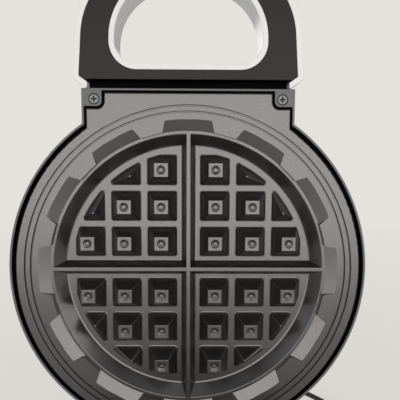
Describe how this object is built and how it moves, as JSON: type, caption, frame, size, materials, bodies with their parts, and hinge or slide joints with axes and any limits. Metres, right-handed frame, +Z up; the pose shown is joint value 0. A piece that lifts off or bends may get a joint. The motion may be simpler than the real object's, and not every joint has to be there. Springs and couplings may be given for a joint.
{
  "type": "stuffed waffle maker",
  "caption": "Round countertop waffle maker with deep studded plates, a hinged lid standing open and loop handles on both halves.",
  "frame": {"origin": "middle of the open cooker's box, on the surface that the feet stand on, the mains lead left out", "axes": "+Z up, -Y towards the user and the handles, hinge line along X"},
  "size_m": [0.3163, 0.5238, 0.4344],
  "materials": {
    "plate_coating": "satin non-stick coating with a fine metallic fleck",
    "bezel_plastic": "satin dark grey moulded plastic",
    "white_shell": "glossy white moulded plastic",
    "black_trim": "satin black moulded plastic",
    "foot_rubber": "matte rubber",
    "pin_steel": "turned steel",
    "element_steel": "heat-tinted steel tube",
    "clip_steel": "pressed steel",
    "shield_sheet": "plain rolled sheet",
    "lens_clear": "clear tinted lens",
    "board_plastic": "laminate board",
    "lamp_glass": "small lamp bulbs",
    "lead_sleeve": "woven heat-proof sleeve",
    "thermostat_body": "pressed cap",
    "fuse_metal": "bright metal case",
    "block_plastic": "moulded thermoset",
    "cord_jacket": "black flexible jacket",
    "plug_plastic": "black moulded plug",
    "blade_brass": "plain brass",
    "relief_rubber": "black moulded sleeve",
    "screw_steel": "zinc-plated steel"
  },
  "bodies": {
    "base": {"base_housing": "white_shell", "lower_plate": "plate_coating", "lower_bezel": "bezel_plastic", "lower_bezel_screws": "screw_steel", "lower_element": "element_steel", "lower_element_clips": "clip_steel", "lower_heat_shield": "shield_sheet", "lower_shield_screws": "screw_steel", "lower_handle": "white_shell", "lower_handle_insert": "black_trim", "lower_handle_screws": "screw_steel", "bottom_cover": "white_shell", "bottom_cover_screws": "screw_steel", "rubber_feet": "foot_rubber", "hinge_pin": "pin_steel", "thermostat": "thermostat_body", "thermal_fuse": "fuse_metal", "terminal_block": "block_plastic", "base_leads": "lead_sleeve", "inner_cord": "cord_jacket", "cord_clamp": "block_plastic", "cord_clamp_screws": "screw_steel", "strain_relief": "relief_rubber", "power_cord": "cord_jacket", "cord_coil": "cord_jacket", "plug_body": "plug_plastic", "plug_blades": "blade_brass"},
    "lid": {"upper_plate": "plate_coating", "upper_bezel": "bezel_plastic", "upper_bezel_screws": "screw_steel", "upper_element": "element_steel", "upper_element_clips": "clip_steel", "upper_heat_shield": "shield_sheet", "upper_shield_screws": "screw_steel", "upper_handle": "white_shell", "upper_handle_insert": "black_trim", "upper_handle_screws": "screw_steel", "lid_cover": "white_shell", "indicator_lenses": "lens_clear", "lamp_board": "board_plastic", "indicator_lamps": "lamp_glass", "lid_leads": "lead_sleeve"}
  },
  "joints": [
    {"name": "lid_hinge", "type": "hinge", "parent": "base", "child": "lid", "pos_m": [0, 0.12809, 0.0843], "axis": [1, 0, 0], "range_deg": [0, 102]}
  ]
}
